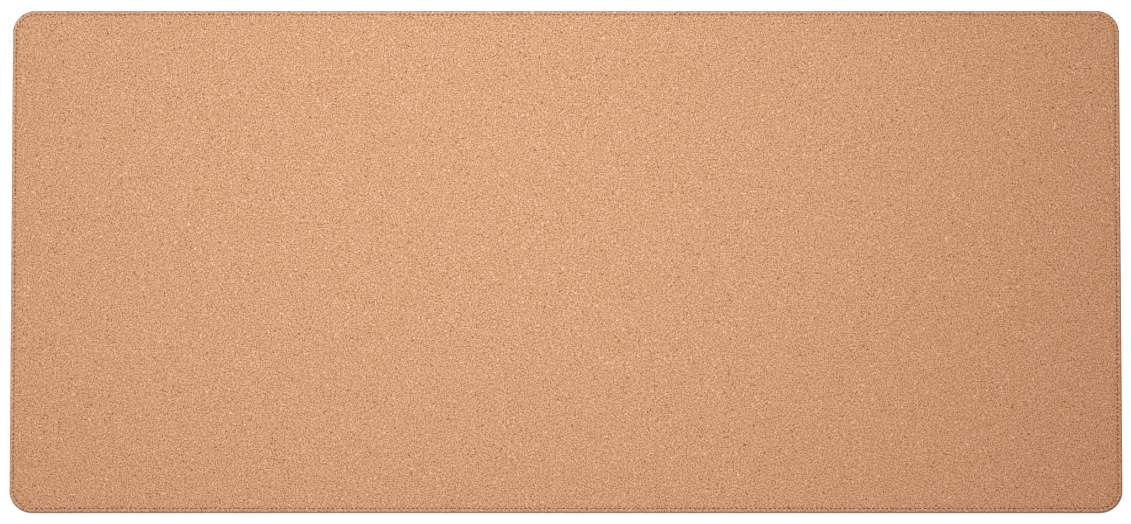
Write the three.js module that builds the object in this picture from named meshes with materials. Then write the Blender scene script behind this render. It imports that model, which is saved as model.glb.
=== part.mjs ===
// Desk-size mouse pad: a cork sheet bonded to synthetic leather and lock-stitched round its edge.
// Millimetres, +Z up. The origin is the middle of the underside, on the desk, with the long side along X.
import * as THREE from "three";

// The mat in plan
const matLength = 900;
const matWidth = 430;
const cornerRadius = 19;
const cornerSegments = 12;

// The layers, from the desk up
const skinThickness = 0.55; // polyurethane coating of the synthetic leather
const clothThickness = 0.4; // knitted cloth that carries the coating
const filmThickness = 0.1; // adhesive film
const corkThickness = 0.95; // pressed cork granules

// How far each layer is trimmed back from the coating's edge
const clothSetback = 0.1;
const filmSetback = 0.6;
const corkSetback = 0.4;

// Edges that the cutting press and use have rounded
const corkEdgeRoll = 0.5;
const skinEdgeRoll = 0.2;
const rollSegments = 3;

// The seam: needle thread on the cork, bobbin thread in the underside
const seamInset = 3.2; // seam line to the mat's edge
const stitchLength = 3.8; // needle hole to needle hole
const threadWidth = 0.6;
const threadClearance = 0.12; // to each wall of the groove that the thread presses
const grooveFlare = 0.25; // the groove is this much wider at its mouth, on each side
const needleGrooveDepth = 0.3;
const needleThreadProud = 0.2; // of the cork
const needleDip = 0.38; // from a stitch's crown down to the thread in a needle hole
const needleClimb = 0.8; // run of the thread from a hole to its crown
const bobbinGrooveDepth = 0.4;
const bobbinThreadHeight = 0.34;

// Heights of the faces between the layers
const skinTop = skinThickness;
const clothTop = skinTop + clothThickness;
const filmTop = clothTop + filmThickness;
const corkTop = filmTop + corkThickness;

const finishes = {
  cork: new THREE.MeshStandardMaterial({ color: 0xd8a57f, roughness: 0.85, metalness: 0 }),
  film: new THREE.MeshStandardMaterial({ color: 0xd9d2c0, roughness: 0.5, metalness: 0 }),
  cloth: new THREE.MeshStandardMaterial({ color: 0x85868a, roughness: 0.95, metalness: 0 }),
  skin: new THREE.MeshStandardMaterial({ color: 0x6c6e71, roughness: 0.6, metalness: 0 }),
  thread: new THREE.MeshStandardMaterial({ color: 0x865739, roughness: 0.7, metalness: 0 }),
};

// The mat's outline moved inwards, anticlockwise from above
function outlinePath(inset) {
  const x = matLength / 2 - cornerRadius;
  const y = matWidth / 2 - cornerRadius;
  const radius = cornerRadius - inset;
  const quarter = Math.PI / 2;
  const outline = new THREE.Shape();
  outline.absarc(x, -y, radius, -quarter, 0);
  outline.absarc(x, y, radius, 0, quarter);
  outline.absarc(-x, y, radius, quarter, 2 * quarter);
  outline.absarc(-x, -y, radius, 2 * quarter, 3 * quarter);
  return outline.closePath();
}

// The same outline as a ring of points
function outlineAt(inset) {
  return outlinePath(inset).getPoints(cornerSegments / 2).slice(0, 4 * (cornerSegments + 1));
}

function meshOf(positions, faces) {
  const geometry = new THREE.BufferGeometry();
  geometry.setAttribute("position", new THREE.Float32BufferAttribute(positions, 3));
  geometry.setIndex(faces);
  geometry.computeVertexNormals();
  return geometry;
}

// Quarter round from a wall to a face, as [inset, height] points
function rollOver(inset, height, roll, up) {
  const points = [];
  for (let i = 0; i <= rollSegments; i++) {
    const angle = ((up ? i : rollSegments - i) / rollSegments) * (Math.PI / 2);
    const side = up ? height - roll + roll * Math.sin(angle) : height + roll - roll * Math.sin(angle);
    points.push([inset + roll - roll * Math.cos(angle), side]);
  }
  return points;
}

// Carries a profile of [inset, height] points round the mat. The points run outwards along the bottom, up
// and back over the top. A closed profile makes a ring, and an open one a sheet with flat faces at its ends.
function carryRound(profile, isRing) {
  const rings = profile.map(([inset]) => outlineAt(inset));
  const count = rings[0].length;
  const positions = [];
  rings.forEach((ring, i) => ring.forEach((p) => positions.push(p.x, p.y, profile[i][1])));
  const faces = [];
  const bands = isRing ? rings.length : rings.length - 1;
  for (let i = 0; i < bands; i++) {
    const low = i * count;
    const high = ((i + 1) % rings.length) * count;
    for (let k = 0; k < count; k++) {
      const next = (k + 1) % count;
      faces.push(low + k, low + next, high + next, low + k, high + next, high + k);
    }
  }
  if (!isRing) {
    const top = (rings.length - 1) * count;
    const flatFace = (ring) => THREE.ShapeUtils.triangulateShape(ring, []);
    flatFace(rings[0]).forEach(([a, b, c]) => faces.push(a, c, b));
    flatFace(rings.at(-1)).forEach(([a, b, c]) => faces.push(top + a, top + b, top + c));
  }
  return meshOf(positions, faces);
}

// Stitches run straight from hole to hole, so in the corners they leave the seam line by this much
const stitchSag = stitchLength ** 2 / (8 * (cornerRadius - seamInset));

// Both grooves have a floor that holds the thread with its clearance, and a mouth wider by the flare
const floorHalf = threadWidth / 2 + stitchSag + threadClearance;
const mouthHalf = floorHalf + grooveFlare;

function corkSheet() {
  const floor = corkTop - needleGrooveDepth;
  return carryRound([
    [corkSetback, filmTop],
    ...rollOver(corkSetback, corkTop, corkEdgeRoll, true),
    [seamInset - mouthHalf, corkTop],
    [seamInset - floorHalf, floor],
    [seamInset + floorHalf, floor],
    [seamInset + mouthHalf, corkTop],
  ]);
}

function leatherSkin() {
  return carryRound([
    [seamInset + mouthHalf, 0],
    [seamInset + floorHalf, bobbinGrooveDepth],
    [seamInset - floorHalf, bobbinGrooveDepth],
    [seamInset - mouthHalf, 0],
    ...rollOver(0, 0, skinEdgeRoll, false),
    [0, skinTop],
  ]);
}

function plainSheet(setback, bottom, top) {
  return carryRound([
    [setback, bottom],
    [setback, top],
  ]);
}

// Needle thread: out of each hole it climbs to its crown, runs straight to the next hole and dips again, with
// its flat belly on the groove's floor. Each stitch has four pairs of points, left and right of the seam
// line: the belly and the dip at the hole, and the two ends of the crown.
function needleThread() {
  const seam = outlinePath(seamInset);
  const stitchCount = Math.round(seam.getLength() / stitchLength);
  const holes = seam.getSpacedPoints(stitchCount).slice(0, -1);
  const half = threadWidth / 2;
  const floor = corkTop - needleGrooveDepth;
  const crown = corkTop + needleThreadProud;
  const positions = [];
  const addPair = (place, along, halfWidth, height) => {
    const across = new THREE.Vector2(-along.y, along.x).setLength(halfWidth);
    positions.push(place.x + across.x, place.y + across.y, height);
    positions.push(place.x - across.x, place.y - across.y, height);
  };
  holes.forEach((hole, i) => {
    const next = holes[(i + 1) % stitchCount];
    const stitch = next.clone().sub(hole);
    const seamLine = next.clone().sub(holes.at(i - 1));
    const climb = needleClimb / stitch.length();
    addPair(hole, seamLine, half, floor);
    addPair(hole, seamLine, half, crown - needleDip);
    addPair(hole.clone().lerp(next, climb), stitch, half / 2, crown);
    addPair(next.clone().lerp(hole, climb), stitch, half / 2, crown);
  });

  const faces = [];
  const addBand = (a, b) => faces.push(a, a + 1, b + 1, a, b + 1, b);
  for (let i = 0; i < stitchCount; i++) {
    const [belly, dip, crownStart, crownEnd] = [0, 2, 4, 6].map((pair) => 8 * i + pair);
    const [nextBelly, nextDip] = [0, 2].map((pair) => 8 * ((i + 1) % stitchCount) + pair);
    addBand(nextBelly, belly);
    addBand(dip, crownStart);
    addBand(crownStart, crownEnd);
    addBand(crownEnd, nextDip);
    const flank = [
      [belly, crownStart, dip],
      [belly, crownEnd, crownStart],
      [belly, nextBelly, crownEnd],
      [nextBelly, nextDip, crownEnd],
    ];
    flank.forEach(([a, b, c]) => faces.push(a, c, b, a + 1, b + 1, c + 1));
  }
  return meshOf(positions, faces);
}

// Bobbin thread: pulled flat into its groove, with its free side rounded
function bobbinThread() {
  const belly = bobbinGrooveDepth - bobbinThreadHeight;
  const half = threadWidth / 2;
  const shoulder = bobbinGrooveDepth - bobbinThreadHeight / 2;
  return carryRound(
    [
      [seamInset + half / 2, belly],
      [seamInset - half / 2, belly],
      [seamInset - half, shoulder],
      [seamInset - half, bobbinGrooveDepth],
      [seamInset + half, bobbinGrooveDepth],
      [seamInset + half, shoulder],
    ],
    true,
  );
}

const pad = new THREE.Group();

function addPiece(name, geometry, finish) {
  const piece = new THREE.Mesh(geometry, finish);
  piece.name = name;
  pad.add(piece);
}

addPiece("leather_skin", leatherSkin(), finishes.skin);
addPiece("leather_cloth", plainSheet(clothSetback, skinTop, clothTop), finishes.cloth);
addPiece("adhesive_film", plainSheet(filmSetback, clothTop, filmTop), finishes.film);
addPiece("cork_sheet", corkSheet(), finishes.cork);
addPiece("needle_thread", needleThread(), finishes.thread);
addPiece("bobbin_thread", bobbinThread(), finishes.thread);

export default pad;
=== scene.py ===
import bmesh
import bpy
import math
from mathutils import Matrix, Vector


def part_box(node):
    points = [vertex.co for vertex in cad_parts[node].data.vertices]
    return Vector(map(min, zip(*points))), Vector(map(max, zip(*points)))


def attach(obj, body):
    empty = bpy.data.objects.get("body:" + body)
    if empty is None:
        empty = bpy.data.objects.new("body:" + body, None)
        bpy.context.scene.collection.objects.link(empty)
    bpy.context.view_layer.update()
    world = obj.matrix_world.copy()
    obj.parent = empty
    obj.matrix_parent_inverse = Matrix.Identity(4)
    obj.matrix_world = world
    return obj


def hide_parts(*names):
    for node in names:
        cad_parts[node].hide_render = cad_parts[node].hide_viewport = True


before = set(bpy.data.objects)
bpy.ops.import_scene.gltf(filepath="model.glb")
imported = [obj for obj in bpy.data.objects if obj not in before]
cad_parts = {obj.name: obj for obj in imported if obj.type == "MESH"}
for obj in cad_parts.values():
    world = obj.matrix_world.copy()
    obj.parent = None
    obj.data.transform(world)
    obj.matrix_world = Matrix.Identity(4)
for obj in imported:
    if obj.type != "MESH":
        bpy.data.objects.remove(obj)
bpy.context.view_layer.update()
scene = bpy.context.scene
mm = 0.001
weldDistance = 0.002 * mm  # points closer than this become one


def linear(hexColour):  # sRGB hex to the linear colour that a shader takes
    parts = [int(hexColour[i:i + 2], 16) / 255 for i in (1, 3, 5)]
    return (*[c / 12.92 if c <= 0.04045 else ((c + 0.055) / 1.055) ** 2.4 for c in parts], 1.0)


# Adds a node with its settings. An input takes a value, a socket, a node or a list of nodes.
def addNode(tree, kind, settings={}, inputs={}):
    node = tree.nodes.new(kind)
    for name, value in settings.items():
        if name == "capture_items":  # a value to keep needs its socket first
            node.capture_items.new(*value)
        else:
            setattr(node, name, value)
    for name, value in inputs.items():
        for source in value if isinstance(value, list) else [value]:
            if isinstance(source, bpy.types.Node):
                source = next(s for s in source.outputs if s.enabled)
            if isinstance(source, bpy.types.NodeSocket):
                tree.links.new(source, node.inputs[name])
            else:
                node.inputs[name].default_value = source
    return node


# Settings that keep a number on each point, to be known after the points are carried along a curve
keepOnPoints = {"domain": "POINT", "capture_items": ("FLOAT", "kept")}


# A geometry tree with named inputs, which come back as sockets by name
def newTree(name, sizes):
    tree = bpy.data.node_groups.new(name, "GeometryNodeTree")
    for label, kind in sizes.items():
        tree.interface.new_socket(label, in_out="INPUT", socket_type="NodeSocket" + kind)
    tree.interface.new_socket("Geometry", in_out="OUTPUT", socket_type="NodeSocketGeometry")
    return tree, addNode(tree, "NodeGroupInput").outputs


# Runs a tree once and leaves its result as a plain mesh with faces pointing outwards
def makePiece(name, tree, sizes):
    piece = bpy.data.objects.new(name, bpy.data.meshes.new(name))
    scene.collection.objects.link(piece)
    modifier = piece.modifiers.new(name, "NODES")
    modifier.node_group = tree
    for socket in tree.interface.items_tree:
        if socket.in_out == "INPUT":
            modifier[socket.identifier] = sizes[socket.name]
    depsgraph = bpy.context.evaluated_depsgraph_get()
    mesh = bpy.data.meshes.new_from_object(
        piece.evaluated_get(depsgraph), preserve_all_data_layers=True, depsgraph=depsgraph
    )
    piece.modifiers.clear()
    piece.data = mesh
    mesh.name = name
    shell = bmesh.new()
    shell.from_mesh(mesh)
    bmesh.ops.recalc_face_normals(shell, faces=shell.faces)
    openEdges = sum(len(e.link_faces) != 2 for e in shell.edges)
    shell.to_mesh(mesh)
    shell.free()
    triangles = sum(len(p.vertices) - 2 for p in mesh.polygons)
    print(f"{name}: {triangles} triangles, {openEdges} open edges")
    return piece


# An empty material and its tree
def newMaterial(name):
    material = bpy.data.materials.new(name)
    material.use_nodes = True
    material.node_tree.nodes.clear()
    return material, material.node_tree


# Gives a colour ramp its stops, each a position and a linear colour
def setStops(ramp, stops):
    elements = ramp.color_ramp.elements
    while len(elements) < len(stops):
        elements.new(0.5)
    for element, (position, colour) in zip(elements, stops):
        element.position = position
        element.color = colour


# The mat's measures, from the frame
skinLow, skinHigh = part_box("leather_skin")
corkLow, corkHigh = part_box("cork_sheet")
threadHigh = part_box("needle_thread")[1]
mat = {
    "length": skinHigh.x - skinLow.x,
    "width": skinHigh.y - skinLow.y,
    "cornerRadius": 19 * mm, "cornerSteps": 48,
    "threadWidth": 0.6 * mm,
    "stitchLength": 3.8 * mm,
}
seamInset = skinHigh.x - threadHigh.x + mat["threadWidth"] / 2
seam = {
    "Length": mat["length"] - 2 * seamInset,
    "Width": mat["width"] - 2 * seamInset,
    "Corner Radius": mat["cornerRadius"] - seamInset,
}
seamLength = 2 * (seam["Length"] + seam["Width"]) - (8 - 2 * math.pi) * seam["Corner Radius"]
stitches = round(seamLength / mat["stitchLength"])
print(f"seam: {stitches} stitches on {seamLength:.3f} m, {seamInset / mm:.2f} mm from the edge")


# Pressed cork: granules bonded under pressure and shaved flat. Each granule is a mosaic of tan crumbs with
# fine dark gaps round it. A few are dark bark, a few are pale, and the sealed face is dull.
pressedCork = {
    "granule": 1.1, "crumb": 0.5,  # mm across
    "wobble": 0.25, "wobbleSize": 1.0,  # how far the outlines wander, and over what distance, mm
    "patch": 1.0, "contrast": 1.13,  # lighter and darker crumbs: spacing in mm, and their range of tones
    "cell": 0.12, "cellTone": 0.12,  # mottling inside a crumb: size in mm, and half its range of tones
    "cloud": 15.0, "cloudTone": 0.016,  # slow change of density in the sheet: the same
    "granuleTone": 0.04,  # half the range of tones from granule to granule
    "gap": 0.06, "gapTone": 0.08,  # gap's width as a share of a granule, and how much darker it is
    "darkShare": 0.018, "darkTone": -0.55, "paleShare": 0.03, "paleTone": 0.6,
    "tones": ((0.0, "#8E4818"), (0.25, "#B67748"), (0.5, "#D7A680"), (0.75, "#EBC1A0"), (1.0, "#F8D6BA")),
    "relief": 0.02, "bump": 0.6,  # mm, and how strongly it shows
    "roughness": 0.85, "specular": 0.25,
}


def corkMaterial(cork):
    material, tree = newMaterial("pressed cork granules")
    place = addNode(tree, "ShaderNodeTexCoord").outputs["Object"]
    drift = addNode(tree, "ShaderNodeTexNoise", {}, {
        "Vector": place, "Scale": 1 / (cork["wobbleSize"] * mm), "Detail": 3.0})
    centred = addNode(tree, "ShaderNodeVectorMath", {"operation": "SUBTRACT"}, {
        0: drift.outputs["Color"], 1: (0.5, 0.5, 0.5)})
    wandered = addNode(tree, "ShaderNodeVectorMath", {"operation": "MULTIPLY_ADD"}, {
        0: centred, 1: (2 * cork["wobble"] * mm,) * 3, 2: place})
    granules = addNode(tree, "ShaderNodeTexVoronoi", {}, {
        "Vector": wandered, "Scale": 1 / (cork["granule"] * mm)})
    edges = addNode(tree, "ShaderNodeTexVoronoi", {"feature": "DISTANCE_TO_EDGE"}, {
        "Vector": wandered, "Scale": 1 / (cork["granule"] * mm)})
    crumbs = addNode(tree, "ShaderNodeTexVoronoi", {}, {
        "Vector": wandered, "Scale": 1 / (cork["crumb"] * mm)})
    # a crumb's tone is read at its middle, so that it is the same all over the crumb
    patches = addNode(tree, "ShaderNodeTexNoise", {"noise_dimensions": "2D"}, {
        "Vector": crumbs.outputs["Position"], "Scale": 1 / (cork["patch"] * mm), "Detail": 0.0})
    cells = addNode(tree, "ShaderNodeTexNoise", {}, {
        "Vector": place, "Scale": 1 / (cork["cell"] * mm), "Detail": 2.0})
    clouds = addNode(tree, "ShaderNodeTexNoise", {}, {
        "Vector": place, "Scale": 1 / (cork["cloud"] * mm), "Detail": 1.0})
    chances = addNode(tree, "ShaderNodeSeparateColor", {}, {"Color": granules.outputs["Color"]})
    tone = addNode(tree, "ShaderNodeMapRange", {"clamp": False}, {
        "Value": patches, "To Min": 0.5 - cork["contrast"] / 2, "To Max": 0.5 + cork["contrast"] / 2})
    # each of these adds the first tone where its value is 0, and the second where it reaches the limit
    for value, limit, first, second in (
        (chances.outputs["Red"], 1.0, -cork["granuleTone"], cork["granuleTone"]),
        (chances.outputs["Green"], cork["darkShare"], cork["darkTone"], 0.0),
        (chances.outputs["Blue"], cork["paleShare"], cork["paleTone"], 0.0),
        (edges.outputs["Distance"], cork["gap"], -cork["gapTone"], 0.0),
        (cells, 1.0, -cork["cellTone"], cork["cellTone"]),
        (clouds, 1.0, -cork["cloudTone"], cork["cloudTone"]),
    ):
        part = addNode(tree, "ShaderNodeMapRange", {}, {
            "Value": value, "From Max": limit, "To Min": first, "To Max": second})
        tone = addNode(tree, "ShaderNodeMath", {"operation": "ADD"}, {0: tone, 1: part})
    ramp = addNode(tree, "ShaderNodeValToRGB", {}, {"Fac": tone})
    setStops(ramp, [(position, linear(colour)) for position, colour in cork["tones"]])
    bump = addNode(tree, "ShaderNodeBump", {}, {
        "Strength": cork["bump"], "Distance": cork["relief"] * mm, "Height": tone})
    surface = addNode(tree, "ShaderNodeBsdfPrincipled", {}, {
        "Base Color": ramp, "Normal": bump, "Roughness": cork["roughness"],
        "Specular IOR Level": cork["specular"]})
    addNode(tree, "ShaderNodeOutputMaterial", {}, {"Surface": surface})
    return material


# Polyurethane coating of synthetic leather: embossed with a fine pebble grain, satin, mid grey, with painted
# shade in the grain's valleys
polyurethane = {
    "grain": 1.1,  # mm across a pebble
    "crease": 0.3, "creaseDepth": 0.25,  # creases on the pebbles, as shares of a pebble's size and height
    "relief": 0.06, "bump": 0.8,  # mm, and how strongly it shows
    # face is the pebbles' own grey; valley is a darker grey painted into the grain's valleys as painted shade
    "face": "#9A9C9D", "valley": "#838587",
    "roughness": 0.55,
}


def leatherMaterial(skin):
    material, tree = newMaterial("embossed polyurethane leather")
    place = addNode(tree, "ShaderNodeTexCoord").outputs["Object"]
    pebbles = addNode(tree, "ShaderNodeTexVoronoi", {"feature": "SMOOTH_F1"}, {
        "Vector": place, "Scale": 1 / (skin["grain"] * mm), "Smoothness": 0.6})
    creases = addNode(tree, "ShaderNodeTexNoise", {}, {
        "Vector": place, "Scale": 1 / (skin["crease"] * skin["grain"] * mm), "Detail": 3.0})
    height = addNode(tree, "ShaderNodeMath", {"operation": "MULTIPLY_ADD"}, {
        0: creases, 1: skin["creaseDepth"], 2: pebbles.outputs["Distance"]})
    # painted shade: the colour darkens from each pebble's middle out into the valleys between them
    ramp = addNode(tree, "ShaderNodeValToRGB", {}, {"Fac": height})
    setStops(ramp, [(0.0, linear(skin["face"])), (1.0, linear(skin["valley"]))])
    bump = addNode(tree, "ShaderNodeBump", {"invert": True}, {
        "Strength": skin["bump"], "Distance": skin["relief"] * mm, "Height": height})
    surface = addNode(tree, "ShaderNodeBsdfPrincipled", {}, {
        "Base Color": ramp, "Normal": bump, "Roughness": skin["roughness"], "IOR": 1.5})
    addNode(tree, "ShaderNodeOutputMaterial", {}, {"Surface": surface})
    return material


# Seam line: a rectangle with rounded corners, in evenly spaced points, shifted to where it was sewn
def seamLineTree():
    tree, size = newTree("seam line", {
        "Length": "Float", "Width": "Float", "Corner Radius": "Float", "Shift": "Vector", "Points": "Int"})
    corners = addNode(tree, "GeometryNodeCurvePrimitiveQuadrilateral", {"mode": "RECTANGLE"}, {
        "Width": size["Length"], "Height": size["Width"]})
    rounded = addNode(tree, "GeometryNodeFilletCurve", {"mode": "POLY"}, {
        "Curve": corners, "Count": mat["cornerSteps"], "Radius": size["Corner Radius"]})
    spaced = addNode(tree, "GeometryNodeResampleCurve", {"mode": "COUNT"}, {
        "Curve": rounded, "Count": size["Points"]})
    shifted = addNode(tree, "GeometryNodeSetPosition", {}, {"Geometry": spaced, "Offset": size["Shift"]})
    addNode(tree, "NodeGroupOutput", {}, {"Geometry": shifted})
    return tree


# Flat face: an even grid, and triangles from the grid out to a ring of points
def flatFaceTree():
    tree, size = newTree("flat face", {
        "Ring": "Geometry", "Length": "Float", "Width": "Float", "Columns": "Int", "Rows": "Int",
        "Height": "Float"})
    grid = addNode(tree, "GeometryNodeMeshGrid", {}, {
        "Size X": size["Length"], "Size Y": size["Width"],
        "Vertices X": size["Columns"], "Vertices Y": size["Rows"]})
    besideOne = addNode(tree, "FunctionNodeCompare", {"data_type": "INT", "operation": "EQUAL"}, {
        2: addNode(tree, "GeometryNodeInputMeshEdgeNeighbors"), 3: 1})
    border = addNode(tree, "GeometryNodeMeshToCurve", {}, {"Mesh": grid, "Selection": besideOne})
    loops = addNode(tree, "GeometryNodeJoinGeometry", {}, {"Geometry": [size["Ring"], border]})
    band = addNode(tree, "GeometryNodeFillCurve", {"mode": "TRIANGLES"}, {"Curve": loops})
    whole = addNode(tree, "GeometryNodeJoinGeometry", {}, {"Geometry": [grid.outputs["Mesh"], band]})
    raised = addNode(tree, "GeometryNodeSetPosition", {}, {
        "Geometry": whole, "Offset": addNode(tree, "ShaderNodeCombineXYZ", {}, {"Z": size["Height"]})})
    addNode(tree, "NodeGroupOutput", {}, {"Geometry": raised})
    return tree


seamLine = seamLineTree()
flatFace = flatFaceTree()


# Sewn layer: a profile carried round the seam line, which rises again at every needle hole, between two
# stitches, and a flat face at each end of the profile
def sewnLayerTree():
    tree, size = newTree("sewn layer", {
        "Profile": "Object", "Length": "Float", "Width": "Float", "Corner Radius": "Float", "Shift": "Vector",
        "Stitches": "Int", "Steps": "Int", "Stitch Length": "Float",
        "Bridge Height": "Float", "Bridge Flat": "Float", "Bridge Reach": "Float",
        "Back Reach": "Float", "Back Height": "Float", "Face Reach": "Float", "Face Height": "Float",
        "Grid Length": "Float", "Grid Width": "Float", "Columns": "Int", "Rows": "Int",
        "Material": "Material"})
    points = addNode(tree, "ShaderNodeMath", {"operation": "MULTIPLY"}, {
        0: size["Stitches"], 1: size["Steps"]})
    line = addNode(tree, "GeometryNodeGroup", {"node_tree": seamLine}, {
        "Length": size["Length"], "Width": size["Width"], "Corner Radius": size["Corner Radius"],
        "Shift": size["Shift"], "Points": points})
    # distance along the seam to the nearest needle hole
    halfStitch = addNode(tree, "ShaderNodeMath", {"operation": "MULTIPLY"}, {
        0: size["Stitch Length"], 1: 0.5})
    step = addNode(tree, "ShaderNodeMath", {"operation": "DIVIDE"}, {
        0: size["Stitch Length"], 1: size["Steps"]})
    travelled = addNode(tree, "ShaderNodeMath", {"operation": "MULTIPLY"}, {
        0: addNode(tree, "GeometryNodeInputIndex"), 1: step})
    toHole = addNode(tree, "ShaderNodeMath", {"operation": "PINGPONG"}, {0: travelled, 1: halfStitch})
    path = addNode(tree, "GeometryNodeCaptureAttribute", keepOnPoints, {"Geometry": line, "kept": toHole})
    outline = addNode(tree, "GeometryNodeObjectInfo", {}, {"Object": size["Profile"]})
    fromSeam = addNode(tree, "ShaderNodeSeparateXYZ", {}, {0: addNode(tree, "GeometryNodeInputPosition")})
    profile = addNode(tree, "GeometryNodeCaptureAttribute", keepOnPoints, {
        "Geometry": outline.outputs["Geometry"], "kept": fromSeam.outputs["X"]})
    strip = addNode(tree, "GeometryNodeCurveToMesh", {}, {"Curve": path, "Profile Curve": profile})
    offset = addNode(tree, "ShaderNodeCombineXYZ", {}, {
        "X": path.outputs["kept"], "Y": profile.outputs["kept"]})
    away = addNode(tree, "ShaderNodeVectorMath", {"operation": "LENGTH"}, {0: offset})
    bridge = addNode(tree, "ShaderNodeMapRange", {"interpolation_type": "SMOOTHSTEP"}, {
        "Value": away.outputs["Value"], "From Min": size["Bridge Flat"], "From Max": size["Bridge Reach"],
        "To Min": size["Bridge Height"], "To Max": 0.0})
    bridged = addNode(tree, "GeometryNodeSetPosition", {}, {
        "Geometry": strip, "Offset": addNode(tree, "ShaderNodeCombineXYZ", {}, {"Z": bridge})})
    faces = []
    for end in ("Back", "Face"):
        outwards = addNode(tree, "ShaderNodeVectorMath", {"operation": "SCALE"}, {
            0: addNode(tree, "GeometryNodeInputNormal"), "Scale": size[end + " Reach"]})
        inwards = addNode(tree, "ShaderNodeVectorMath", {"operation": "SCALE"}, {0: outwards, "Scale": -1.0})
        ring = addNode(tree, "GeometryNodeSetPosition", {}, {"Geometry": line, "Offset": inwards})
        faces.append(addNode(tree, "GeometryNodeGroup", {"node_tree": flatFace}, {
            "Ring": ring, "Length": size["Grid Length"], "Width": size["Grid Width"],
            "Columns": size["Columns"], "Rows": size["Rows"], "Height": size[end + " Height"]}))
    joined = addNode(tree, "GeometryNodeJoinGeometry", {}, {"Geometry": [bridged, *faces]})
    closed = addNode(tree, "GeometryNodeMergeByDistance", {}, {"Geometry": joined, "Distance": weldDistance})
    smooth = addNode(tree, "GeometryNodeSetShadeSmooth", {}, {"Geometry": closed, "Shade Smooth": True})
    real = addNode(tree, "GeometryNodeRealizeInstances", {}, {"Geometry": smooth})
    finished = addNode(tree, "GeometryNodeSetMaterial", {}, {"Geometry": real, "Material": size["Material"]})
    addNode(tree, "NodeGroupOutput", {}, {"Geometry": finished})
    return tree


sewnLayer = sewnLayerTree()


# A profile as a curve, from points of distance in from the seam line and height. The seam line runs
# anticlockwise, so a profile's own axes point outwards and down.
def profileCurve(name, points):
    curve = bpy.data.curves.new(name, "CURVE")
    curve.dimensions = "3D"
    spline = curve.splines.new("POLY")
    spline.points.add(len(points) - 1)
    for point, (across, height) in zip(spline.points, points):
        point.co = (-across, -height, 0, 1)
    outline = bpy.data.objects.new(name, curve)
    scene.collection.objects.link(outline)
    return outline


# Quarter ellipse from an upright wall over to a flat face
def rollOver(edge, wallEnd, faceStart, faceHeight, steps):
    width, rise = faceStart - edge, faceHeight - wallEnd
    turn = [math.pi / 2 * i / steps for i in range(steps + 1)]
    return [(edge + width * (1 - math.cos(a)), wallEnd + rise * math.sin(a)) for a in turn]


# The seam's hollow: a wide valley where the thread pulls the layers together, and a groove that the thread
# lies in
def hollow(layer, face, side):
    points = []
    for i in range(1, layer["hollowSteps"] + 1):
        t = 2 * i / layer["hollowSteps"] - 1
        across = layer["valleyHalf"] * math.copysign(abs(t) ** layer["crowding"], t)
        valley = layer["valleyDepth"] * (0.5 + 0.5 * math.cos(math.pi * across / layer["valleyHalf"]))
        inGroove = min(abs(across) / layer["grooveHalf"], 1)
        groove = layer["grooveDepth"] * (0.5 + 0.5 * math.cos(math.pi * inGroove))
        points.append((across * mm, face - side * (valley + groove) * mm))
    return points


def layerPiece(name, layer, profile, material, side):
    outline = profileCurve(name + "Profile", profile)
    piece = makePiece(name, sewnLayer, {
        **layer["seam"], "Profile": outline, "Stitches": stitches, "Steps": layer["steps"],
        "Stitch Length": seamLength / stitches,
        "Bridge Height": side * layer["bridgeHeight"] * mm, "Bridge Flat": layer["bridgeFlat"] * mm,
        "Bridge Reach": layer["bridgeReach"] * mm,
        "Back Reach": profile[0][0], "Back Height": profile[0][1],
        "Face Reach": profile[-1][0], "Face Height": profile[-1][1],
        "Grid Length": mat["length"] - 2 * layer["gridInset"] * mm,
        "Grid Width": mat["width"] - 2 * layer["gridInset"] * mm,
        "Columns": layer["columns"], "Rows": layer["rows"], "Material": material})
    bpy.data.objects.remove(outline)
    return piece


# The cork was laid and sewn a little to the left and the front, and further in along the front and the back
sewn = {"left": 0.25, "front": 0.15, "narrower": 0.55}  # mm
corkSeam = {
    **seam,
    "Width": seam["Width"] - 2 * sewn["narrower"] * mm,
    "Shift": (-sewn["left"] * mm, -sewn["front"] * mm, 0),
}
skinSeam = {**seam, "Shift": (0, 0, 0)}
corkLayer = {  # sizes in mm
    "seam": corkSeam,
    "steps": 7,  # points to a stitch
    "rollWidth": 0.28, "rollHeight": 0.4, "rollSteps": 4,
    "valleyHalf": 2.0, "valleyDepth": 0.28, "grooveHalf": 0.6, "grooveDepth": 0.22,
    "hollowSteps": 12, "crowding": 1.6,  # above 1, the hollow's points lie closer together near the seam
    "bridgeHeight": 0.2, "bridgeFlat": 0.3, "bridgeReach": 1.0,  # rise of the layer at a needle hole
    "faceStart": 2.7,  # from the seam line to the flat face
    "gridInset": 20, "columns": 44, "rows": 21,
}
edge = skinHigh.x - corkHigh.x - seamInset
corkProfile = [
    (edge, corkLow.z),
    *rollOver(edge, corkHigh.z - corkLayer["rollHeight"] * mm, edge + corkLayer["rollWidth"] * mm, corkHigh.z,
              corkLayer["rollSteps"]),
    *hollow(corkLayer, corkHigh.z, 1),
    (corkLayer["faceStart"] * mm, corkHigh.z),
]
corkFace = layerPiece("cork_face", corkLayer, corkProfile, corkMaterial(pressedCork), 1)

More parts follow.
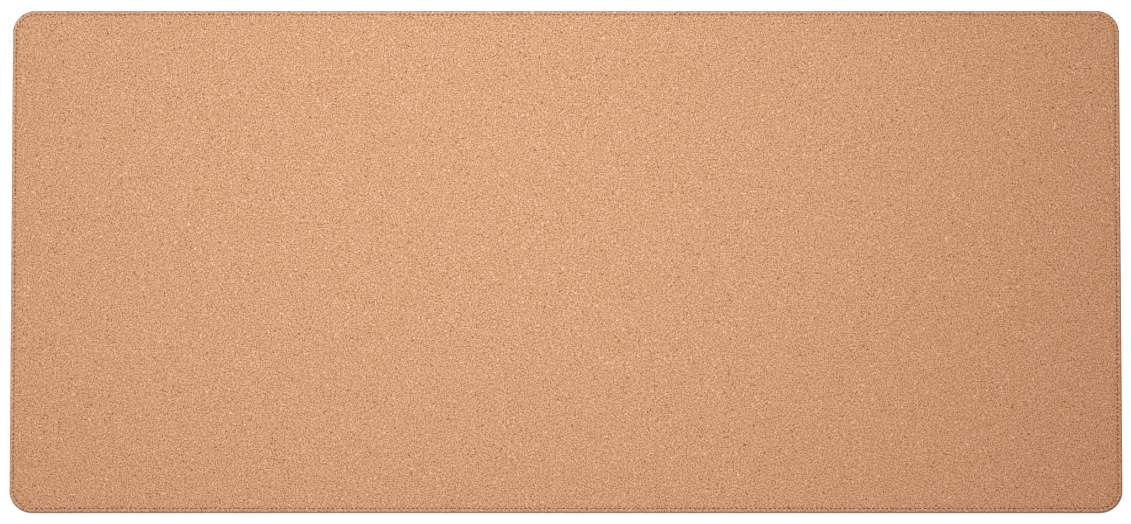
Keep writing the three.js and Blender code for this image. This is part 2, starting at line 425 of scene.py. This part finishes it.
skinLayer = {  # the same for the coating
    "seam": skinSeam,
    "steps": 5,
    "rollWidth": 0.25, "rollHeight": 0.25, "rollSteps": 4,
    "valleyHalf": 1.8, "valleyDepth": 0.1, "grooveHalf": 0.65, "grooveDepth": 0.28,
    "hollowSteps": 12, "crowding": 1.6,
    "bridgeHeight": 0.2, "bridgeFlat": 0.15, "bridgeReach": 0.65,
    "faceStart": 2.7,
    "gridInset": 20, "columns": 44, "rows": 21,
}
skinProfile = [
    (-seamInset, skinHigh.z),
    *rollOver(-seamInset, skinLow.z + skinLayer["rollHeight"] * mm, skinLayer["rollWidth"] * mm - seamInset,
              skinLow.z, skinLayer["rollSteps"]),
    (-skinLayer["valleyHalf"] * mm, skinLow.z),
    *hollow(skinLayer, skinLow.z, -1),
    (skinLayer["faceStart"] * mm, skinLow.z),
]
leatherBack = layerPiece("leather_back", skinLayer, skinProfile, leatherMaterial(polyurethane), -1)


# Twisted polyester sewing thread: three plies wound round each other, dull, with dark lines between the plies
# that are painted shade. Stitches differ in brightness at random; the darker ones are partly painted shade of
# stitches that lie deeper, and the stitches at the seam's end were singed and are darkest.
sewingThread = {
    "plies": 3, "turns": 2.0,  # and turns of the twist in one stitch
    # between is painted shade in the lines between the plies
    "ply": "#A65F32", "between": "#6B3A1F",
    "plyStart": 0.5,  # of the way from the line between two plies to the middle of a ply
    # a lower brightness is partly painted shade, of a stitch that lies deeper
    "shades": ((0.0, 0.15), (0.08, 0.4), (0.3, 0.8), (1.0, 1.3)),  # share of the stitches, and brightness
    "relief": 0.08, "bump": 0.7,  # mm, and how strongly it shows
    "roughness": 0.85, "specular": 0.1,
}


def threadMaterial(thread):
    material, tree = newMaterial("twisted polyester thread")
    halfPly = 1 / (2 * thread["plies"])
    around = addNode(tree, "ShaderNodeSeparateXYZ", {}, {
        0: addNode(tree, "ShaderNodeUVMap", {"uv_map": "UVMap"})})
    wound = addNode(tree, "ShaderNodeMath", {"operation": "MULTIPLY_ADD"}, {
        0: around.outputs["X"], 1: thread["turns"], 2: around.outputs["Y"]})
    plies = addNode(tree, "ShaderNodeMath", {"operation": "PINGPONG"}, {0: wound, 1: halfPly})
    ridge = addNode(tree, "ShaderNodeMapRange", {"interpolation_type": "SMOOTHSTEP"}, {
        "Value": plies, "From Max": halfPly})
    # painted shade: the colour darkens towards the lines between the plies
    ramp = addNode(tree, "ShaderNodeValToRGB", {}, {"Fac": ridge})
    setStops(ramp, [(0.0, linear(thread["between"])), (thread["plyStart"], linear(thread["ply"]))])
    # each stitch's brightness, drawn at random: partly painted shade of stitches that lie deeper
    chance = addNode(tree, "ShaderNodeAttribute", {"attribute_name": "stitchChance"})
    shades = addNode(tree, "ShaderNodeValToRGB", {}, {"Fac": chance.outputs["Fac"]})
    setStops(shades, [(share, (brightness,) * 3 + (1,)) for share, brightness in thread["shades"]])
    shaded = addNode(tree, "ShaderNodeHueSaturation", {}, {
        "Value": shades.outputs["Color"], "Color": ramp.outputs["Color"]})
    bump = addNode(tree, "ShaderNodeBump", {}, {
        "Strength": thread["bump"], "Distance": thread["relief"] * mm, "Height": ridge})
    surface = addNode(tree, "ShaderNodeBsdfPrincipled", {}, {
        "Base Color": shaded, "Normal": bump, "Roughness": thread["roughness"],
        "Specular IOR Level": thread["specular"]})
    addNode(tree, "ShaderNodeOutputMaterial", {}, {"Surface": surface})
    return material


stitchRows = {  # crown and hole are heights from the face in mm, and the slant is in degrees
    "needle_stitches": {
        "seam": corkSeam, "face": corkHigh.z, "crown": -0.2, "hole": -0.8, "slant": 3.0, "seed": 238,
        "endLift": 0.14},  # of the stitches that lie over the others, mm
    "bobbin_stitches": {
        "seam": skinSeam, "face": skinLow.z, "crown": 0.29, "hole": 0.6, "slant": -3.0, "seed": 8,
        "endLift": 0.0},
}
oneStitch = {
    "reach": 1.18,  # from the middle of a stitch to where it is well inside a hole, mm
    "width": 0.74, "thickness": 0.42,  # of the thread where it is pressed flat, mm
    "steep": 0.85,  # how steeply it comes out: 1 is straight up
    "taper": 0.2,  # share of a stitch, at each end, where the thread narrows
    "uneven": 0.1,  # how early or late a stitch is, as a share of its length, which varies by twice as much
    "yaw": 1.5,  # how far a stitch lies off the row's slant, degrees
    "steps": 7, "sides": 9,
    "seamEnd": 255.7, "endReach": 3.0,  # place along the back edge, and how near to it stitches overlap, mm
    "endShift": (-0.3, 0.3),  # how far the stitches on top lie along the seam and inwards, mm
    "endScale": (0.9, 1.6, 1.0),  # their size along, across and up
}


# Row of lock stitches: one arch of thread, set on every chord of the seam line between two needle holes.
# Where the seam ends, its last stitches lie over the first.
def lockStitchTree():
    tree, size = newTree("row of lock stitches", {
        "Length": "Float", "Width": "Float", "Corner Radius": "Float", "Shift": "Vector", "Stitches": "Int",
        "Reach": "Float", "Thread Width": "Float", "Thread Height": "Float", "Hole Height": "Float",
        "Crown Height": "Float", "Slant": "Float", "Uneven": "Float", "Steps": "Int", "Sides": "Int",
        "Seed": "Int", "Seam End": "Vector", "End Reach": "Float", "End Offset": "Vector",
        "End Scale": "Vector", "Material": "Material"})
    line = addNode(tree, "GeometryNodeGroup", {"node_tree": seamLine}, {
        "Length": size["Length"], "Width": size["Width"], "Corner Radius": size["Corner Radius"],
        "Shift": size["Shift"], "Points": size["Stitches"]})
    # one stitch: it comes out steeply and lies flat between
    start, startHandle, endHandle = [
        addNode(tree, "ShaderNodeMath", {"operation": "MULTIPLY"}, {0: size["Reach"], 1: share})
        for share in (-1.0, -oneStitch["steep"], oneStitch["steep"])]
    rise = addNode(tree, "ShaderNodeMath", {"operation": "SUBTRACT"}, {
        0: size["Crown Height"], 1: size["Hole Height"]})
    handleHeight = addNode(tree, "ShaderNodeMath", {"operation": "MULTIPLY_ADD"}, {
        0: rise, 1: 4 / 3, 2: size["Hole Height"]})  # such a curve climbs to 3/4 of its handles
    arch = addNode(tree, "GeometryNodeCurvePrimitiveBezierSegment", {}, {
        "Resolution": size["Steps"],
        "Start": addNode(tree, "ShaderNodeCombineXYZ", {}, {"X": start, "Z": size["Hole Height"]}),
        "Start Handle": addNode(tree, "ShaderNodeCombineXYZ", {}, {"X": startHandle, "Z": handleHeight}),
        "End Handle": addNode(tree, "ShaderNodeCombineXYZ", {}, {"X": endHandle, "Z": handleHeight}),
        "End": addNode(tree, "ShaderNodeCombineXYZ", {}, {"X": size["Reach"], "Z": size["Hole Height"]})})
    stepped = addNode(tree, "GeometryNodeResampleCurve", {"mode": "EVALUATED"}, {"Curve": arch})
    upright = addNode(tree, "GeometryNodeSetCurveNormal", {"mode": "Z_UP"}, {"Curve": stepped})
    thread = addNode(tree, "GeometryNodeCaptureAttribute", keepOnPoints, {
        "Geometry": upright, "kept": addNode(tree, "GeometryNodeSplineParameter")})
    circle = addNode(tree, "GeometryNodeCurveArc", {"mode": "RADIUS"}, {
        "Resolution": size["Sides"], "Radius": 0.5, "Sweep Angle": 2 * math.pi})
    pressed = addNode(tree, "ShaderNodeCombineXYZ", {}, {
        "X": size["Thread Width"], "Y": size["Thread Height"], "Z": 1.0})
    oval = addNode(tree, "GeometryNodeTransform", {}, {"Geometry": circle.outputs["Curve"], "Scale": pressed})
    section = addNode(tree, "GeometryNodeCaptureAttribute", keepOnPoints, {
        "Geometry": oval, "kept": addNode(tree, "GeometryNodeSplineParameter")})
    toEnd = addNode(tree, "ShaderNodeMath", {"operation": "PINGPONG"}, {0: thread.outputs["kept"], 1: 0.5})
    taper = addNode(tree, "ShaderNodeMapRange", {"interpolation_type": "SMOOTHSTEP"}, {
        "Value": toEnd, "From Max": oneStitch["taper"]})
    stitch = addNode(tree, "GeometryNodeCurveToMesh", {}, {
        "Curve": thread, "Profile Curve": section, "Scale": taper})
    alongAround = addNode(tree, "ShaderNodeCombineXYZ", {}, {
        "X": thread.outputs["kept"], "Y": section.outputs["kept"]})
    unwrapped = addNode(tree, "GeometryNodeStoreNamedAttribute", {
        "data_type": "FLOAT2", "domain": "CORNER"}, {
        "Geometry": stitch, "Name": "UVMap", "Value": alongAround})
    sealed = addNode(tree, "GeometryNodeMergeByDistance", {}, {
        "Geometry": unwrapped, "Distance": weldDistance})
    # the chords, as points that know their run
    chords = addNode(tree, "GeometryNodeCurveToMesh", {}, {"Curve": line})
    ends = addNode(tree, "GeometryNodeInputMeshEdgeVertices")
    run = addNode(tree, "ShaderNodeVectorMath", {"operation": "SUBTRACT"}, {
        0: ends.outputs["Position 2"], 1: ends.outputs["Position 1"]})
    keep = addNode(tree, "GeometryNodeCaptureAttribute", {
        "domain": "EDGE", "capture_items": ("VECTOR", "run")}, {"Geometry": chords, "run": run})
    middles = addNode(tree, "GeometryNodeMeshToPoints", {"mode": "EDGES"}, {"Mesh": keep.outputs["Geometry"]})
    # no stitch is quite like the next: each draw has its range, and the next seed
    uneven = size["Uneven"]
    early = addNode(tree, "ShaderNodeMath", {"operation": "MULTIPLY"}, {0: uneven, 1: -1.0})
    shortest = addNode(tree, "ShaderNodeMath", {"operation": "MULTIPLY_ADD"}, {0: uneven, 1: -2.0, 2: 1.0})
    longest = addNode(tree, "ShaderNodeMath", {"operation": "MULTIPLY_ADD"}, {0: uneven, 1: 2.0, 2: 1.0})
    yaw = math.radians(oneStitch["yaw"])
    draws = {}
    for order, (name, least, most) in enumerate((
        ("yaw", -yaw, yaw), ("shade", 0.0, 1.0), ("shift", early, uneven), ("length", shortest, longest),
    )):
        seed = addNode(tree, "ShaderNodeMath", {"operation": "ADD"}, {0: size["Seed"], 1: order})
        draws[name] = addNode(tree, "FunctionNodeRandomValue", {"data_type": "FLOAT"}, {
            2: least, 3: most, "Seed": seed})
    drift = addNode(tree, "ShaderNodeVectorMath", {"operation": "SCALE"}, {
        0: keep.outputs["run"], "Scale": draws["shift"]})
    places = addNode(tree, "GeometryNodeSetPosition", {}, {"Geometry": middles, "Offset": drift})
    turned = addNode(tree, "FunctionNodeAlignRotationToVector", {"axis": "X", "pivot_axis": "Z"}, {
        "Vector": keep.outputs["run"]})
    slanted = addNode(tree, "ShaderNodeMath", {"operation": "ADD"}, {0: draws["yaw"], 1: size["Slant"]})
    settled = addNode(tree, "FunctionNodeRotateRotation", {"rotation_space": "LOCAL"}, {
        "Rotation": turned,
        "Rotate By": addNode(tree, "FunctionNodeEulerToRotation", {}, {
            0: addNode(tree, "ShaderNodeCombineXYZ", {}, {"Z": slanted})})})
    row = addNode(tree, "GeometryNodeInstanceOnPoints", {}, {
        "Points": places, "Instance": sealed, "Rotation": settled,
        "Scale": addNode(tree, "ShaderNodeCombineXYZ", {}, {"X": draws["length"], "Y": 1.0, "Z": 1.0})})
    # the random shade of each stitch, which the thread's colour follows: partly painted shade of deeper
    # stitches
    marked = addNode(tree, "GeometryNodeStoreNamedAttribute", {"data_type": "FLOAT", "domain": "INSTANCE"}, {
        "Geometry": row, "Name": "stitchChance", "Value": draws["shade"]})
    # the stitches over the others, moved along and thicker, in the darkest shade
    toSeamEnd = addNode(tree, "ShaderNodeVectorMath", {"operation": "DISTANCE"}, {
        0: addNode(tree, "GeometryNodeInputPosition"), 1: size["Seam End"]})
    nearEnd = addNode(tree, "FunctionNodeCompare", {"data_type": "FLOAT", "operation": "LESS_THAN"}, {
        0: toSeamEnd.outputs["Value"], 1: size["End Reach"]})
    over = addNode(tree, "GeometryNodeInstanceOnPoints", {}, {
        "Points": middles, "Selection": nearEnd, "Instance": sealed, "Rotation": settled,
        "Scale": size["End Scale"]})
    moved = addNode(tree, "GeometryNodeTranslateInstances", {}, {
        "Instances": over, "Translation": size["End Offset"]})
    singed = addNode(tree, "GeometryNodeStoreNamedAttribute", {"data_type": "FLOAT", "domain": "INSTANCE"}, {
        "Geometry": moved, "Name": "stitchChance", "Value": 0.0})
    both = addNode(tree, "GeometryNodeJoinGeometry", {}, {"Geometry": [marked, singed]})
    real = addNode(tree, "GeometryNodeRealizeInstances", {}, {"Geometry": both})
    smooth = addNode(tree, "GeometryNodeSetShadeSmooth", {}, {"Geometry": real, "Shade Smooth": True})
    finished = addNode(tree, "GeometryNodeSetMaterial", {}, {
        "Geometry": smooth, "Material": size["Material"]})
    addNode(tree, "NodeGroupOutput", {}, {"Geometry": finished})
    return tree


lockStitch = lockStitchTree()
brownThread = threadMaterial(sewingThread)
stitchPieces = {}
for name, row in stitchRows.items():
    stitchPieces[name] = makePiece(name, lockStitch, {
        **row["seam"], "Stitches": stitches, "Reach": oneStitch["reach"] * mm,
        "Thread Width": oneStitch["width"] * mm, "Thread Height": oneStitch["thickness"] * mm,
        "Hole Height": row["face"] + row["hole"] * mm, "Crown Height": row["face"] + row["crown"] * mm,
        "Slant": math.radians(row["slant"]), "Uneven": oneStitch["uneven"],
        "Steps": oneStitch["steps"], "Sides": oneStitch["sides"], "Seed": row["seed"],
        "Seam End": (oneStitch["seamEnd"] * mm, row["seam"]["Width"] / 2, 0),
        "End Reach": oneStitch["endReach"] * mm,
        "End Offset": Vector((*oneStitch["endShift"], row["endLift"])) * mm,
        "End Scale": oneStitch["endScale"], "Material": brownThread})

# Knitted polyester cloth under the coating: matt loops of pale grey yarn, of which only the cut edge shows
knittedCloth = {
    "loop": 0.35,  # mm across
    "yarn": "#B4B4B3", "shadow": "#858584",
    "relief": 0.1, "bump": 0.8,  # mm, and how strongly it shows
    "roughness": 0.9,
}


def clothMaterial(cloth):
    material, tree = newMaterial("knitted polyester backing")
    place = addNode(tree, "ShaderNodeTexCoord").outputs["Object"]
    loops = addNode(tree, "ShaderNodeTexVoronoi", {}, {"Vector": place, "Scale": 1 / (cloth["loop"] * mm)})
    ramp = addNode(tree, "ShaderNodeValToRGB", {}, {"Fac": loops.outputs["Distance"]})
    setStops(ramp, [(0.0, linear(cloth["yarn"])), (1.0, linear(cloth["shadow"]))])
    bump = addNode(tree, "ShaderNodeBump", {"invert": True}, {
        "Strength": cloth["bump"], "Distance": cloth["relief"] * mm, "Height": loops.outputs["Distance"]})
    surface = addNode(tree, "ShaderNodeBsdfPrincipled", {}, {
        "Base Color": ramp, "Normal": bump, "Roughness": cloth["roughness"]})
    addNode(tree, "ShaderNodeOutputMaterial", {}, {"Surface": surface})
    return material


# Cured adhesive over the cloth: a satin film, a little milky in places, of which only the cut edge shows
curedAdhesive = {
    "clouds": 2.0,  # mm across
    "clear": "#9C9892", "milky": "#AEAAA3",
    "roughness": 0.45,
}


def adhesiveMaterial(film):
    material, tree = newMaterial("cured adhesive film")
    place = addNode(tree, "ShaderNodeTexCoord").outputs["Object"]
    clouds = addNode(tree, "ShaderNodeTexNoise", {}, {"Vector": place, "Scale": 1 / (film["clouds"] * mm)})
    ramp = addNode(tree, "ShaderNodeValToRGB", {}, {"Fac": clouds})
    setStops(ramp, [(0.0, linear(film["clear"])), (1.0, linear(film["milky"]))])
    surface = addNode(tree, "ShaderNodeBsdfPrincipled", {}, {
        "Base Color": ramp, "Roughness": film["roughness"]})
    addNode(tree, "ShaderNodeOutputMaterial", {}, {"Surface": surface})
    return material


for name, material in {
    "leather_cloth": clothMaterial(knittedCloth),
    "adhesive_film": adhesiveMaterial(curedAdhesive),
}.items():
    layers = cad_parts[name].data.materials
    layers.clear()
    layers.append(material)
print("layers: cloth and adhesive have their finishes")

# What each piece stands for
for piece, node, slot in (
    (corkFace, "cork_sheet", "cork"),
    (leatherBack, "leather_skin", "synthetic_leather"),
    (stitchPieces["needle_stitches"], "needle_thread", "needle_thread"),
    (stitchPieces["bobbin_stitches"], "bobbin_thread", "bobbin_thread"),
):
    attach(piece, "root")
    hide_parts(node)

# Light: a soft lamp over the mat, a window to the left and a little to the back, and an even room light. One
# light from below reaches only the underside. Places and sides are in metres, widths in degrees.
studio = {
    "lampPlace": (-0.103, 0.17, 0.47), "lampSide": 0.97, "lampPower": 3.83, "lampColour": "#E4F8FF",
    "windowFrom": (-0.45, 0.1, 0.85), "windowPower": 0.6, "windowWidth": 25.0, "windowColour": "#FFECD7",
    "roomLight": "#FFD6C0", "roomStrength": 0.343,
    "belowFrom": (0, 0, -1), "belowPower": 2.4, "belowWidth": 120.0, "belowColour": "#F6FAFF",
    "floorSide": 8.0, "floorColour": "#E8E8E8", "floorGlow": 0.8,
    "floorDrop": 0.01,  # mm below the mat
}
lamp = bpy.data.lights.new("softbox", "AREA")
lamp.shape = "SQUARE"
lamp.size = studio["lampSide"]
lamp.energy = studio["lampPower"]
lamp.color = linear(studio["lampColour"])[:3]
softbox = bpy.data.objects.new("softbox", lamp)
softbox.location = studio["lampPlace"]
softbox.visible_camera = False
scene.collection.objects.link(softbox)
for name in ("window", "below"):
    glare = bpy.data.lights.new(name, "SUN")
    glare.energy = studio[name + "Power"]
    glare.angle = math.radians(studio[name + "Width"])
    glare.color = linear(studio[name + "Colour"])[:3]
    source = bpy.data.objects.new(name, glare)
    source.rotation_euler = Vector(studio[name + "From"]).to_track_quat("Z", "Y").to_euler()
    scene.collection.objects.link(source)


# One number that is 1 for rays that should see white: straight from the camera, mirrored or seen through
def sightRays(tree):
    rays = addNode(tree, "ShaderNodeLightPath")
    glossy = addNode(tree, "ShaderNodeMath", {"operation": "MAXIMUM"}, {
        0: rays.outputs["Is Camera Ray"], 1: rays.outputs["Is Glossy Ray"]})
    return addNode(tree, "ShaderNodeMath", {"operation": "MAXIMUM"}, {
        0: glossy, 1: rays.outputs["Is Transmission Ray"]})


world = bpy.data.worlds.new("white room")
world.use_nodes = True
air = world.node_tree
air.nodes.clear()
room = addNode(air, "ShaderNodeBackground", {}, {
    "Color": linear(studio["roomLight"]), "Strength": studio["roomStrength"]})
white = addNode(air, "ShaderNodeBackground", {}, {"Color": (1, 1, 1, 1), "Strength": 1.0})
backdrop = addNode(air, "ShaderNodeMixShader", {}, {0: sightRays(air), 1: room, 2: white})
addNode(air, "ShaderNodeOutputWorld", {}, {"Surface": backdrop})
scene.world = world

# White paper floor: matt, and bright enough to be seen as white. It lets light through from below, so that
# the underside can be looked at too.
floorMaterial, paper = newMaterial("white paper floor")
lit = addNode(paper, "ShaderNodeBsdfDiffuse", {}, {"Color": linear(studio["floorColour"])})
glowing = addNode(paper, "ShaderNodeMath", {"operation": "MULTIPLY"}, {
    0: sightRays(paper), 1: studio["floorGlow"]})
glow = addNode(paper, "ShaderNodeEmission", {}, {"Strength": glowing})
above = addNode(paper, "ShaderNodeAddShader", {}, {0: lit, 1: glow})
startsClose = addNode(paper, "ShaderNodeMath", {"operation": "LESS_THAN"}, {
    0: addNode(paper, "ShaderNodeLightPath").outputs["Ray Length"], 1: 2 * studio["floorDrop"] * mm})
letThrough = addNode(paper, "ShaderNodeMath", {"operation": "MAXIMUM"}, {
    0: addNode(paper, "ShaderNodeNewGeometry").outputs["Backfacing"], 1: startsClose})
clear = addNode(paper, "ShaderNodeBsdfTransparent")
sheet = addNode(paper, "ShaderNodeMixShader", {}, {0: letThrough, 1: above, 2: clear})
addNode(paper, "ShaderNodeOutputMaterial", {}, {"Surface": sheet})
floorMesh = bpy.data.meshes.new("floor")
reach = studio["floorSide"] / 2
floorMesh.from_pydata(
    [(x * reach, y * reach, -studio["floorDrop"] * mm) for x, y in ((-1, -1), (1, -1), (1, 1), (-1, 1))],
    [], [(0, 1, 2, 3)])
floorMesh.materials.append(floorMaterial)
floor = bpy.data.objects.new("floor", floorMesh)
scene.collection.objects.link(floor)
print("studio: lamp, window, room light and floor")

# Camera: far off and long, looking almost straight down, from a little to the front
view = {
    "lens": 780.0, "elevation": 71.45,  # mm, degrees
    "frameWidth": 0.9173,  # metres across the picture at the mat's middle
    "aim": (-0.00034, -0.00093, 0.001),
}
camera = bpy.data.objects.new("camera", bpy.data.cameras.new("camera"))
camera.data.lens = view["lens"]
distance = view["frameWidth"] / camera.data.sensor_width * view["lens"]
tilt = math.radians(view["elevation"])
back = Vector((0, -math.cos(tilt), math.sin(tilt)))
camera.location = Vector(view["aim"]) + back * distance
camera.rotation_euler = (math.pi / 2 - tilt, 0, 0)
camera.data.clip_end = 2 * distance
scene.collection.objects.link(camera)
scene.camera = camera
scene.view_settings.view_transform = "Standard"
print(f"camera: {distance:.2f} m away")

bpy.context.view_layer.update()
